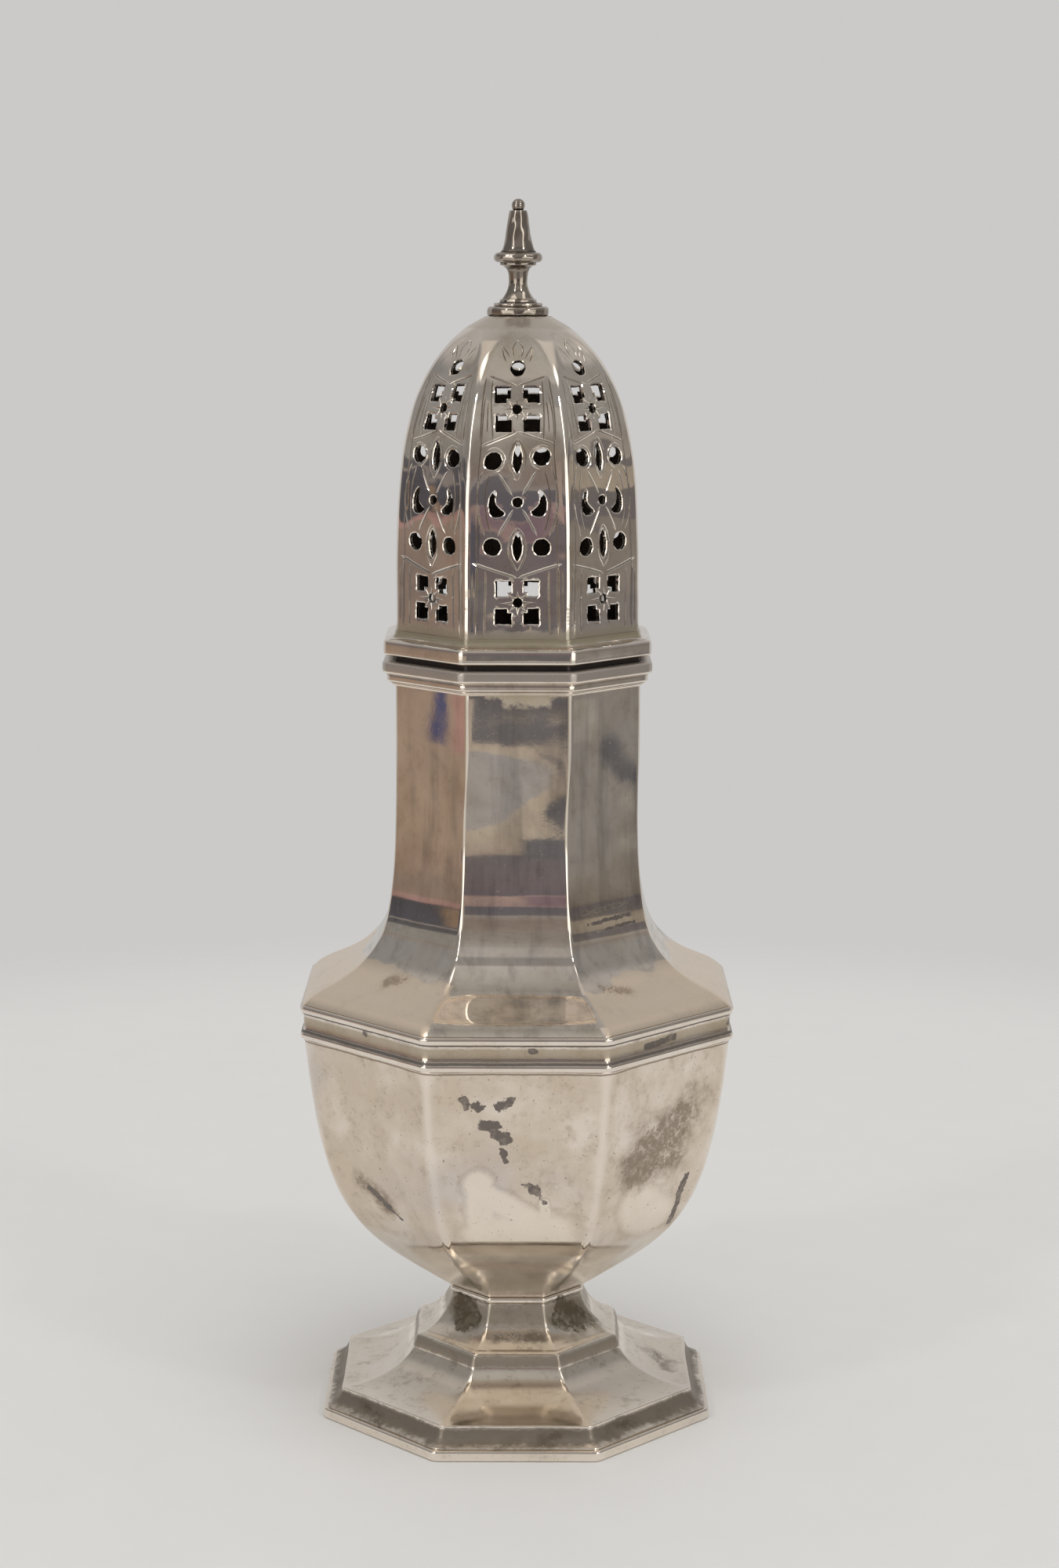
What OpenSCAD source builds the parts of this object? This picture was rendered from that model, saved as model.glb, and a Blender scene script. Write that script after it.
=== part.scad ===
// Silver octagonal sugar caster: a hollow footed vase with a pierced lift-off cover.
// Millimetres, +Z up, the foot stands on z = 0 and a flat panel faces -Y.
// All octagon sizes are across the flats; two opposite panels face the Y axis.

/* [Foot] */
// base wire, across the flats: the widest part of the foot
foot_across = 57; // [45:0.5:62]
// height of the flat base wire
base_wire_height = 1.6; // [1:0.1:3]
// depth of the base wire, measured inwards
base_wire_depth = 2.2; // [1.6:0.1:4]
// how far the cove starts inside the face of the base wire
cove_setback = 0.6; // [0.2:0.1:1.5]
// height of the cove above the base wire
cove_height = 2.8; // [1.5:0.1:5]
// how far the cove runs inwards
cove_depth = 2.1; // [1:0.1:3]
// rise of the spreading flange from the cove's lip to the step
flange_rise = 4.5; // [2.5:0.1:8]
// step at the head of the flange, across the flats at its bottom
step_across = 30.8; // [26:0.2:36]
// height of the step
step_height = 2.4; // [1:0.1:4]
// how far the step draws in
step_depth = 1.7; // [0.8:0.1:3]
// height of the hollow stem above the step
stem_height = 5.7; // [3:0.1:10]
// stem where it meets the bowl, across the flats
stem_across = 19.2; // [16:0.2:24]
// height of the collar wire between stem and bowl
collar_height = 0.9; // [0.5:0.1:2]
// how far the collar wire stands out from the stem
collar_lip = 0.25; // [0.1:0.05:0.8]

/* [Bowl] */
// height of the bowl from its flat bottom to the waist moulding
bowl_height = 40.4; // [32:0.2:50]
// bowl at the waist, across the flats
bowl_across = 61.2; // [54:0.2:66]
// fullness of the upper bowl: how far its side runs down before it turns in
bowl_fullness = 0.70; // [0.55:0.01:0.8]
// fullness of the lower bowl: how far it keeps out before it meets the collar
bowl_belly = 0.65; // [0.5:0.01:0.75]

/* [Waist] */
// height of the reeded waist moulding
waist_height = 5; // [3.5:0.1:7]
// how far the moulding stands out from the bowl
waist_lip = 0.6; // [0.4:0.1:1.2]
// height of each of its two reeds
reed_height = 1.1; // [0.7:0.1:1.5]
// depth of the channel between the reeds
channel_depth = 0.5; // [0.2:0.1:0.8]
// depth of the seat that the moulding has in the two shells
waist_seat = 0.6; // [0.3:0.1:0.6]

/* [Neck] */
// height from the waist moulding to the edge of the mouth
neck_height = 50.2; // [40:0.1:62]
// straight upper neck, across the flats
neck_across = 35; // [31:0.2:38]
// height above the waist at which the neck starts to spread
flare_height = 34.7; // [26:0.2:36]
// height above the waist of the tightest bend in the flare
throat_height = 7.8; // [6:0.1:10]
// flare at that bend, across the flats
throat_across = 40.8; // [39:0.2:46]
// how far the shoulder's edge stands inside the moulding's face
shoulder_setback = 0.3; // [0.1:0.05:0.6]

/* [Mouth] */
// height of the band round the mouth
mouth_band_height = 1.9; // [1.4:0.1:3.5]
// height of the bead below that band
mouth_bead_height = 1.2; // [0.5:0.1:1.5]
// height of the fine reed below the bead
mouth_reed_height = 0.6; // [0.3:0.1:1.2]
// how far the band stands out from the neck
mouth_band_lip = 1.7; // [1:0.1:2.5]
// how far the bead stands out from the neck
mouth_bead_lip = 1.1; // [0.6:0.1:1.4]
// how far the fine reed stands out from the neck
mouth_reed_lip = 0.4; // [0.2:0.05:0.6]
// open line left between the mouth band and the cover
cover_gap = 0.7; // [0.4:0.1:2]

/* [Cover] */
// length of the sleeve below the edge of the mouth
sleeve_length = 11; // [7:0.5:15]
// height of the cover's band
cover_band_height = 2.5; // [1.4:0.1:3.5]
// height of the cove above that band
cover_cove_height = 1.1; // [0.6:0.1:2]
// how far the cover's band stands out from the dome
cover_band_lip = 1.85; // [1.2:0.05:2.5]
// depth of the seat for the dome inside the cover's band
dome_seat = 2.1; // [1:0.1:2.5]

/* [Dome] */
// dome at its base, across the flats
dome_across = 34.5; // [34:0.1:36]
// height of the dome above the cover's band and cove
dome_height = 44.4; // [36:0.2:54]
// fullness of the side: how far up it stays upright
dome_side = 0.573; // [0.45:0.005:0.65]
// fullness of the head: how far out it keeps near the top
dome_head = 0.849; // [0.75:0.005:0.9]

/* [Piercing] */
// width of a whole square cluster
cluster_width = 6.2; // [5:0.1:7]
// height of a whole square cluster
cluster_height = 6.2; // [5:0.1:7]
// width of the bars of metal between its squares
cluster_bar = 1.7; // [1.2:0.1:2.4]
// size of the notch of metal in the inner corner of each square
cluster_notch = 0.6; // [0.3:0.05:0.8]
// radius of the hole at the middle of a cluster
star_hole_radius = 0.7; // [0.4:0.05:0.75]
// radius of the large round holes
round_hole_radius = 1.25; // [0.9:0.05:1.4]
// distance of those holes from the middle of the panel
round_hole_offset = 3.4; // [3:0.1:3.8]
// radius of the hole at the head of the panel
head_hole_radius = 1.05; // [0.7:0.05:1.3]
// height of the pointed oval holes
navette_height = 3.8; // [2.5:0.1:4]
// width of the pointed oval holes
navette_width = 1.3; // [0.9:0.05:1.6]
// outer radius of the crescent holes
crescent_radius = 1.85; // [1.4:0.05:2]
// width of the crescent holes at their side
crescent_width = 0.85; // [0.6:0.05:1.2]

/* [Finial] */
// radius of the round collar on top of the dome
finial_collar_radius = 4.4; // [3.6:0.1:5.5]
// height of that collar
finial_collar_height = 1.4; // [0.8:0.1:2.5]
// radius of the finial's spigot
spigot_radius = 1.2; // [0.8:0.1:1.6]
// height of each of the two step discs
disc_height = 0.5; // [0.3:0.05:0.9]
// radius of the larger step disc
disc_radius = 3.5; // [2.9:0.1:3.6]
// height of the waisted stem
finial_stem_height = 5.2; // [3.5:0.1:8]
// radius of the stem at its waist
finial_stem_radius = 1.33; // [0.9:0.01:1.8]
// height of the plain lip under the knop ring
knop_lip_height = 0.4; // [0.2:0.05:0.8]
// radius of the knop ring
knop_radius = 3.5; // [2.8:0.1:4.2]
// height of the knop ring
knop_height = 1.4; // [0.9:0.1:2]
// height of the bell above the knop
bell_height = 5.9; // [4:0.1:9]
// radius of the bell at its foot
bell_radius = 2.6; // [2:0.1:2.7]
// radius of the ball at the top
ball_radius = 0.96; // [0.6:0.02:1.05]

/* [Sheet and fits] */
// thickness of the silver sheet of the shells
gauge = 0.6; // [0.5:0.05:0.9]
// thickness of the cover's sleeve
sleeve_gauge = 0.6; // [0.4:0.05:0.8]
// clearance on each flat between the sleeve and the neck
sleeve_clearance = 0.1; // [0.05:0.01:0.2]
// clearance round the finial's spigot
spigot_clearance = 0.05; // [0.02:0.01:0.15]
// worn-off width along the edges of the mouldings
edge = 0.3; // [0.1:0.05:0.4]

/* [Hidden] */
$fn = 64;
sides = 8;
panel_turn = 360 / sides;
curve_steps = 12;
overcut = 1;
// half widths across the flats
foot_half = foot_across / 2;
step_half = step_across / 2;
stem_half = stem_across / 2;
bowl_half = bowl_across / 2;
neck_half = neck_across / 2;
throat_half = throat_across / 2;
dome_half = dome_across / 2;
waist_half = bowl_half + waist_lip;
seat_half = bowl_half - waist_seat;
cove_half = foot_half - cove_setback;
lip_half = cove_half - cove_depth;
collar_half = stem_half + collar_lip;
mouth_half = neck_half - gauge;
sleeve_half = mouth_half - sleeve_clearance;
cover_half = dome_half + cover_band_lip;
span = 3 * max(waist_half, foot_half);
// levels, each standing on the one before
cove_top = base_wire_height + cove_height;
step_bottom = cove_top + flange_rise;
step_top = step_bottom + step_height;
stem_top = step_top + stem_height;
bowl_bottom = stem_top + collar_height;
waist_bottom = bowl_bottom + bowl_height;
waist_top = waist_bottom + waist_height;
seam = (waist_bottom + waist_top) / 2;
mouth_edge = waist_top + neck_height;
mouth_band_top = mouth_edge - cover_gap;
mouth_band_bottom = mouth_band_top - mouth_band_height;
mouth_bead_bottom = mouth_band_bottom - mouth_bead_height;
mouth_reed_bottom = mouth_bead_bottom - mouth_reed_height;
sleeve_bottom = mouth_edge - sleeve_length;
cover_band_top = mouth_edge + cover_band_height;
dome_base = cover_band_top + cover_cove_height;
dome_foot = dome_base - dome_seat;
dome_top = dome_base + dome_height;
disc_bottom = dome_top + finial_collar_height;
stem_foot = disc_bottom + 2 * disc_height;
knop_bottom = stem_foot + finial_stem_height;
knop_top = knop_bottom + knop_height;
bell_top = knop_top + bell_height;
spigot_bottom = dome_top - 2 * gauge;
stem_waist = (stem_foot + knop_bottom) / 2;
// share of the ball's radius that lies above the bell's head at its centre
ball_sink = 0.7;
// place of the crescents between the round holes and below the middle row
crescent_offset = round_hole_offset - 1.3;
crescent_drop = 0.25;
// lift of the metal inside a crescent, which thins its upper horn and broadens its toe
crescent_lift = 0.6;
// share of the side's width by which that metal also stands outwards
crescent_share = 0.45;
// how far the toe runs inwards past the crescent's middle
crescent_toe = 0.3;
// rows of the piercing, as shares of the dome's height
head_hole_row = dome_base + 0.845 * dome_height;
upper_cluster_row = dome_base + 0.720 * dome_height;
upper_round_row = dome_base + 0.568 * dome_height;
middle_row = dome_base + 0.433 * dome_height;
lower_round_row = dome_base + 0.292 * dome_height;
lower_cluster_row = dome_base + 0.118 * dome_height;

// pulls that bend each curve, as shares [across, up] of the way from its start to its end
cove_pulls = [[0.55, 0.08], [0.8, 0.4]];
flange_pulls = [[0.25, 0.02], [0.75, 0.18]];
step_pulls = [[0.12, 0.45], [0.25, 0.95]];
stem_pulls = [[0.5, 0.2], [0.9, 0.5]];
bowl_pulls = [[bowl_belly, 0.25], [0.88, 1 - bowl_fullness]];
shoulder_pulls = [[0.25, 0.38], [0.64, 0.3]];
flare_pulls = [[1.2, 0.19], [1, 0.85]];
channel_pulls = [[0.8, 0.1], [1, 0.5]];
cover_cove_pulls = [[0.8, 0], [1, 0.3]];
dome_pulls = [[0, dome_side], [0.03, dome_head]];
finial_foot_pulls = [[0.4, 0.2], [0.95, 0.5]];
finial_stem_pulls = [[0, 0.5], [0.12, 0.95]];
bell_pulls = [[0.55, 0.1], [0.6, 0.55]];

function mix(a, b, t) = a + (b - a) * t;
function towards(p, s, pull) = [mix(p[0], s[0], pull[0]), mix(p[1], s[1], pull[1])];
function cubic(p, q, r, s, t) =
    mix(mix(mix(p, q, t), mix(q, r, t), t), mix(mix(q, r, t), mix(r, s, t), t), t);
// points of a curve from p to s bent by two pulls, without p itself when it carries on another curve
function curve(p, s, pulls, first = 0) = [for (i = [first : curve_steps])
    cubic(p, towards(p, s, pulls[0]), towards(p, s, pulls[1]), s, i / curve_steps)];
// a profile moved inwards by one distance and up or down by another
function shifted(profile, inwards, up) = [for (p = profile) [p[0] - inwards, p[1] + up]];

step_head = [step_half - step_depth, step_top];
foot_profile = concat(
    [[cove_half, base_wire_height]],
    curve([cove_half, base_wire_height + edge], [lip_half, cove_top - edge], cove_pulls),
    curve([lip_half, cove_top], [step_half, step_bottom], flange_pulls),
    curve([step_half, step_bottom], step_head, step_pulls, 1),
    curve(step_head, [stem_half, stem_top], stem_pulls, 1));
bowl_curve = curve([stem_half, bowl_bottom], [bowl_half, waist_bottom], bowl_pulls);
throat = [throat_half, waist_top + throat_height];
neck_curve = concat(
    curve([waist_half - shoulder_setback, waist_top], throat, shoulder_pulls),
    curve(throat, [neck_half, waist_top + flare_height], flare_pulls, 1));
dome_curve = curve([dome_half, dome_base], [finial_collar_radius, dome_top], dome_pulls);

// upright octagonal solid whose panels follow a profile of [half width, height] points
module octagonal(profile) {
    intersection_for (turn = [0 : panel_turn : 180 - panel_turn])
        rotate(turn) rotate([90, 0, 0]) linear_extrude(span, center = true)
            polygon(concat(profile,
                [for (i = [len(profile) - 1 : -1 : 0]) [-profile[i][0], profile[i][1]]]));
}

// straight octagonal prism between two levels
module prism(half, bottom, top) {
    octagonal([[half, bottom], [half, top]]);
}

module foot_rim() {
    color("silver") difference() {
        prism(foot_half, 0, base_wire_height);
        prism(foot_half - base_wire_depth, -overcut, base_wire_height + overcut);
    }
}

module foot() {
    color("silver") difference() {
        octagonal(foot_profile);
        octagonal(concat([[cove_half - gauge, base_wire_height - overcut]],
            shifted(foot_profile, gauge, -gauge), [[stem_half - gauge, stem_top + overcut]]));
    }
}

module foot_collar() {
    color("silver") difference() {
        prism(collar_half, stem_top, bowl_bottom);
        prism(stem_half - 2 * gauge, stem_top - overcut, bowl_bottom + overcut);
    }
}

module bowl() {
    lining = [for (p = shifted(bowl_curve, gauge, gauge)) if (p[1] < waist_bottom - 3 * gauge) p];
    color("silver") difference() {
        octagonal(concat(bowl_curve, [[seat_half, waist_bottom], [seat_half, seam]]));
        octagonal(concat(lining, [[seat_half - gauge, waist_bottom - gauge]],
            [[seat_half - gauge, seam + overcut]]));
    }
}

module waist_moulding() {
    face = waist_half - edge / 2;
    reed = [[face, 0], [waist_half, edge], [waist_half, reed_height - edge]];
    lower = curve([face, waist_bottom + reed_height], [waist_half - channel_depth, seam], channel_pulls);
    half = concat(shifted(reed, 0, waist_bottom), lower);
    color("silver") difference() {
        octagonal(concat(half, [for (i = [len(half) - 2 : -1 : 0]) [half[i][0], 2 * seam - half[i][1]]]));
        prism(seat_half, waist_bottom - overcut, waist_top + overcut);
    }
}

module neck() {
    lining = [for (p = shifted(neck_curve, gauge, -gauge)) if (p[0] < seat_half - gauge) p];
    color("silver") difference() {
        octagonal(concat([[seat_half, seam], [seat_half, waist_top]],
            neck_curve, [[neck_half, mouth_edge]]));
        octagonal(concat([[seat_half - gauge, seam - overcut], [seat_half - gauge, waist_top - gauge]],
            lining, [[mouth_half, mouth_edge + overcut]]));
    }
}

module mouth_moulding() {
    band = neck_half + mouth_band_lip;
    bead = neck_half + mouth_bead_lip;
    reed = neck_half + mouth_reed_lip;
    color("silver") difference() {
        octagonal([[neck_half, mouth_reed_bottom], [reed, mouth_reed_bottom + edge],
            [reed, mouth_bead_bottom], [bead - edge, mouth_bead_bottom], [bead, mouth_bead_bottom + edge],
            [bead, mouth_band_bottom], [band - edge, mouth_band_bottom], [band, mouth_band_bottom + edge],
            [band, mouth_band_top - edge], [band - edge, mouth_band_top]]);
        prism(neck_half, mouth_reed_bottom - overcut, mouth_band_top + overcut);
    }
}

module cover_sleeve() {
    color("silver") difference() {
        prism(sleeve_half, sleeve_bottom, dome_foot);
        prism(sleeve_half - sleeve_gauge, sleeve_bottom - overcut, dome_foot + overcut);
    }
}

module cover_moulding() {
    color("silver") difference() {
        octagonal(concat([[cover_half - edge, mouth_edge], [cover_half, mouth_edge + edge]],
            [[cover_half, cover_band_top - edge]],
            curve([cover_half - edge, cover_band_top], [dome_half + edge / 2, dome_base],
                cover_cove_pulls)));
        prism(sleeve_half, mouth_edge - overcut, dome_foot + overcut);
        prism(dome_half, dome_foot, dome_base + overcut);
    }
}

module dome() {
    color("silver") difference() {
        octagonal(concat([[dome_half, dome_foot]], dome_curve));
        octagonal(concat([[dome_half - gauge, dome_foot - overcut]],
            [[dome_half - gauge, dome_base - gauge]], shifted(dome_curve, gauge, -gauge)));
        for (panel = [0 : sides - 1]) rotate(panel * panel_turn) rotate([90, 0, 0])
            translate([0, 0, dome_half / 2]) linear_extrude(dome_half) piercing();
        translate([0, 0, dome_top - gauge - overcut])
            cylinder(r = spigot_radius + spigot_clearance, h = gauge + 2 * overcut);
    }
}

// holes of one panel, seen from outside
module piercing() {
    translate([0, head_hole_row]) circle(head_hole_radius);
    for (row = [upper_cluster_row, lower_cluster_row]) translate([0, row]) square_cluster();
    for (row = [upper_round_row, lower_round_row]) translate([0, row]) {
        navette();
        for (side = [-1, 1]) translate([side * round_hole_offset, 0]) circle(round_hole_radius);
    }
    translate([0, middle_row]) {
        circle(star_hole_radius);
        for (flip = [0, 1]) mirror([flip, 0]) crescent();
    }
}

module square_cluster() {
    wide = (cluster_width - cluster_bar) / 2;
    tall = (cluster_height - cluster_bar) / 2;
    circle(star_hole_radius);
    for (across = [0, 1], along = [0, 1]) mirror([across, 0]) mirror([0, along])
        translate([cluster_bar / 2, cluster_bar / 2]) difference() {
            square([wide, tall]);
            translate([-overcut, -overcut]) square(overcut + cluster_notch);
        }
}

module navette() {
    radius = (pow(navette_height, 2) + pow(navette_width, 2)) / (4 * navette_width);
    intersection() {
        translate([radius - navette_width / 2, 0]) circle(radius);
        translate([navette_width / 2 - radius, 0]) circle(radius);
    }
}

module crescent() {
    translate([crescent_offset, -crescent_drop]) difference() {
        circle(crescent_radius);
        translate([-crescent_share * crescent_width, crescent_lift])
            circle(crescent_radius - (1 - crescent_share) * crescent_width);
        translate([-crescent_toe - crescent_radius, 0]) square(2 * crescent_radius, center = true);
    }
}

module finial_collar() {
    color("silver") rotate_extrude() difference() {
        polygon([[0, dome_top], [finial_collar_radius, dome_top],
            [finial_collar_radius, disc_bottom - edge], [finial_collar_radius - edge, disc_bottom],
            [0, disc_bottom]]);
        translate([0, dome_top - overcut])
            square([spigot_radius + spigot_clearance, finial_collar_height + 2 * overcut]);
    }
}

module finial() {
    small_disc = mix(finial_stem_radius, disc_radius, 0.6);
    bell_head = 1.3 * ball_radius;
    lip = [bell_radius, knop_bottom - knop_lip_height];
    color("silver") {
        rotate_extrude() polygon(concat(
            [[0, spigot_bottom], [spigot_radius, spigot_bottom], [spigot_radius, disc_bottom]],
            [[disc_radius, disc_bottom], [disc_radius, disc_bottom + disc_height]],
            [[small_disc, disc_bottom + disc_height], [small_disc, stem_foot]],
            curve([small_disc - edge, stem_foot], [finial_stem_radius, stem_waist], finial_foot_pulls),
            curve([finial_stem_radius, stem_waist], lip, finial_stem_pulls, 1),
            [[bell_radius, knop_bottom]],
            curve([bell_radius, knop_top], [bell_head, bell_top], bell_pulls),
            [[0, bell_top]]));
        translate([0, 0, (knop_bottom + knop_top) / 2]) rotate_extrude()
            translate([knop_radius - knop_height / 2, 0]) circle(knop_height / 2);
        translate([0, 0, bell_top + ball_sink * ball_radius]) sphere(ball_radius);
    }
}

foot_rim();
foot();
foot_collar();
bowl();
waist_moulding();
neck();
mouth_moulding();
cover_sleeve();
cover_moulding();
dome();
finial_collar();
finial();
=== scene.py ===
"""Looks of a silver octagonal sugar caster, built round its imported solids. Its lengths are in mm."""
import math

import bpy
import numpy as np
from mathutils import Matrix, Vector
from mathutils.geometry import delaunay_2d_cdt


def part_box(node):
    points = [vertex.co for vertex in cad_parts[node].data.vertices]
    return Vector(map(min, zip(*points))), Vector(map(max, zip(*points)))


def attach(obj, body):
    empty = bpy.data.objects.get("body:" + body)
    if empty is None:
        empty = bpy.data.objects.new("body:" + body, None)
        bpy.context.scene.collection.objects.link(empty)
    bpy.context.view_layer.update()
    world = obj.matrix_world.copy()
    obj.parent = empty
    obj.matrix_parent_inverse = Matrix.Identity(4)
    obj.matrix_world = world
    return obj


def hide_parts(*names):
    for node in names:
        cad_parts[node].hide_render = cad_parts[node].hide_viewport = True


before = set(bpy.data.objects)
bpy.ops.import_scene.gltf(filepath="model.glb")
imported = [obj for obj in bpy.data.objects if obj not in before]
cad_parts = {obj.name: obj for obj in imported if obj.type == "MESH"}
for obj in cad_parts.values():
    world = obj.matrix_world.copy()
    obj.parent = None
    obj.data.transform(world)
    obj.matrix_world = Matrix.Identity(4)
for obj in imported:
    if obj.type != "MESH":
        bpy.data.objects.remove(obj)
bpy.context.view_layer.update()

MM = 0.001
SIDES = 8
PANEL = 2 * math.pi / SIDES
HALF_PANEL = PANEL / 2
HALF_TAN = math.tan(HALF_PANEL)
# how much further out a panel with rounded ridges stands so that the ridges keep their place
RIDGE_KEEP = 1 - math.cos(HALF_PANEL)
# points across a panel's flat, how strongly they crowd towards its ridges, and points round a ridge
FLAT_STEPS, CROWD, RIDGE_STEPS = 27, 1.25, 10
TURNED_STEPS = 112
HOLLOW_GAIN = 2.2


def smooth_step(x, low, high):
    t = np.clip((x - low) / (high - low), 0, 1)
    return t * t * (3 - 2 * t)


# Profiles, read from the solids

def section(node, angle):
    """A solid's outline in the upright half plane at an angle from +X, as an anticlockwise ring of
    (distance, height)."""
    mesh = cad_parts[node].data
    co = np.empty(len(mesh.vertices) * 3)
    mesh.vertices.foreach_get("co", co)
    points, index = np.unique(np.round(co.reshape(-1, 3) / MM, 4), axis=0, return_inverse=True)
    along = points[:, 0] * math.cos(angle) + points[:, 1] * math.sin(angle)
    across = points[:, 1] * math.cos(angle) - points[:, 0] * math.sin(angle)
    inside = (np.abs(across) < 2e-3) & (along > -1e-3)
    edges = np.empty(len(mesh.edges) * 2, int)
    mesh.edges.foreach_get("vertices", edges)
    edges = index.reshape(-1)[edges].reshape(-1, 2)
    edges = edges[inside[edges].all(axis=1) & (edges[:, 0] != edges[:, 1])]
    near = {}
    for a, b in edges:
        near.setdefault(a, set()).add(b)
        near.setdefault(b, set()).add(a)
    chains, left = [], set(near)
    while left:
        chain = [min(left, key=lambda v: (len(near[v] & left) != 1, v))]
        left.discard(chain[0])
        while near[chain[-1]] & left:
            chain.append(min(near[chain[-1]] & left))
            left.discard(chain[-1])
        chains.append([(along[v], points[v, 2]) for v in chain])
    ring = list(chains.pop(0))
    while chains:
        best = min(chains, key=lambda c: min(math.dist(ring[-1], c[0]), math.dist(ring[-1], c[-1])))
        chains.remove(best)
        ring += best if math.dist(ring[-1], best[0]) <= math.dist(ring[-1], best[-1]) else best[::-1]
    ring = np.array(ring)
    area = np.sum(ring[:, 0] * np.roll(ring[:, 1], -1) - np.roll(ring[:, 0], -1) * ring[:, 1])
    return ring if area > 0 else ring[::-1]


def bend(a, b, ta, tb, span, spacing):
    """Points from a up to b on the curve that leaves along ta and arrives along tb."""
    count = max(1, math.ceil(span / spacing))
    t = (np.arange(count) / count)[:, None]
    return ((2 * t**3 - 3 * t**2 + 1) * a + (t**3 - 2 * t**2 + t) * span * ta
            + (3 * t**2 - 2 * t**3) * b + (t**3 - t**2) * span * tb)


def flow(ring, fillet, spacing, sharp=math.radians(24), round_steps=5):
    """The ring drawn again closely: gentle bends become smooth curves and sharp corners small rounds."""
    ring = ring[np.linalg.norm(np.roll(ring, -1, 0) - ring, axis=1) > 1e-4]
    ahead = np.roll(ring, -1, 0) - ring
    length = np.linalg.norm(ahead, axis=1)
    unit = ahead / length[:, None]
    before, back = np.roll(length, 1), np.roll(unit, 1, 0)
    corner = np.sum(unit * back, axis=1) < math.cos(sharp)
    tangent = unit * before[:, None] + back * length[:, None]
    tangent /= np.linalg.norm(tangent, axis=1)[:, None]
    cut = np.where(corner, np.minimum(fillet, 0.45 * np.minimum(length, before)), 0)
    out = []
    for i in range(len(ring)):
        j = (i + 1) % len(ring)
        a, b = ring[i] + unit[i] * cut[i], ring[j] - unit[i] * cut[j]
        ta, tb = (unit[i] if corner[k] else tangent[k] for k in (i, j))
        out.extend(bend(a, b, ta, tb, np.linalg.norm(b - a), spacing))
        if corner[j]:
            c = ring[j] + unit[j] * cut[j]
            steps = np.arange(round_steps) / round_steps
            out += [(1 - t)**2 * b + 2 * t * (1 - t) * ring[j] + t**2 * c for t in steps]
    return np.array(out)


def curve_through(points, spacing):
    """A smooth open line through points, closely spaced."""
    step = np.linalg.norm(np.diff(points, axis=0), axis=1)
    unit = np.diff(points, axis=0) / step[:, None]
    inner = unit[1:] * step[:-1, None] + unit[:-1] * step[1:, None]
    tangent = np.vstack([unit[:1], inner / np.linalg.norm(inner, axis=1)[:, None], unit[-1:]])
    spans = zip(points, points[1:], tangent, tangent[1:], step)
    return np.vstack([bend(*span, spacing) for span in spans] + [points[-1:]])


def hollowness(ring, reach):
    """How deep each point of a closed line lies in a hollow of that reach: 1 is deep, -1 a swelling."""
    place = np.concatenate([[0], np.cumsum(np.linalg.norm(np.roll(ring, -1, 0) - ring, axis=1))])

    def at(s):
        s = s % place[-1]
        return np.stack([np.interp(s, place, np.append(ring[:, k], ring[0, k])) for k in (0, 1)], 1)

    here, there = at(place[:-1] - reach), at(place[:-1] + reach)
    run = there - here
    normal = np.stack([run[:, 1], -run[:, 0]], 1) / (np.linalg.norm(run, axis=1)[:, None] + 1e-6)
    return np.clip(HOLLOW_GAIN * np.sum(((here + there) / 2 - ring) * normal, axis=1) / reach, -1, 1)


# Shells and wires

pieces = {}


def sway(points, size, height, seed, waves=7):
    """Smooth unevenness of hand-worked sheet: a few crossing waves of about that size."""
    rng = np.random.default_rng(seed)
    total = np.zeros(len(points))
    for _ in range(waves):
        way = rng.normal(size=3)
        way *= 2 * math.pi / (size * rng.uniform(0.7, 1.5)) / np.linalg.norm(way)
        total += np.sin(points @ way + rng.uniform(0, 2 * math.pi))
    return total * height / waves


def add_piece(name, points, faces, body, node, values):
    """A smooth mesh that rides on a body in the place of a solid and carries values for its finish."""
    mesh = bpy.data.meshes.new(name)
    mesh.from_pydata((np.asarray(points) * MM).tolist(), [], [tuple(f) for f in faces])
    for key, numbers in values.items():
        mesh.attributes.new(key, "FLOAT", "POINT").data.foreach_set("value", np.asarray(numbers, np.float32))
    mesh.polygons.foreach_set("use_smooth", [True] * len(mesh.polygons))
    obj = bpy.data.objects.new(name, mesh)
    bpy.context.scene.collection.objects.link(obj)
    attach(obj, body)
    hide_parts(node)
    pieces[node] = obj
    return obj


def panel_rings(half, ridge, dish, bulge):
    """Points round the levels of an octagon with rounded ridges and dished or bulging panels, and how near
    each is to a ridge."""
    half, ridge, dish = (np.asarray(v, float)[:, None] for v in (half, ridge, dish))
    half = half + RIDGE_KEEP * ridge
    f = np.sin(np.linspace(-1, 1, FLAT_STEPS) * CROWD)[None, :] / math.sin(CROWD)
    turn = np.linspace(0, PANEL, RIDGE_STEPS + 1)[None, 1:-1]
    u = np.concatenate([f * (half - ridge) * HALF_TAN, (half - ridge) * HALF_TAN + ridge * np.sin(turn)], 1)
    flat = half - dish * smooth_step(1 - np.abs(f), 0, 0.5) + bulge * (1 - f**2)
    v = np.concatenate([flat, half - ridge + ridge * np.cos(turn)], 1)
    beside = smooth_step(np.abs(f), 0.9, 1.0) * 0.4
    near = np.concatenate([beside, 1 - 0.6 * np.abs(turn / HALF_PANEL - 1)], 1)[0]
    x, y = [], []
    for k in range(SIDES):
        c, s = math.cos(k * PANEL), math.sin(k * PANEL)
        x.append(u * c + v * s)
        y.append(u * s - v * c)
    return np.concatenate(x, 1), np.concatenate(y, 1), np.tile(near, SIDES)


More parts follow.
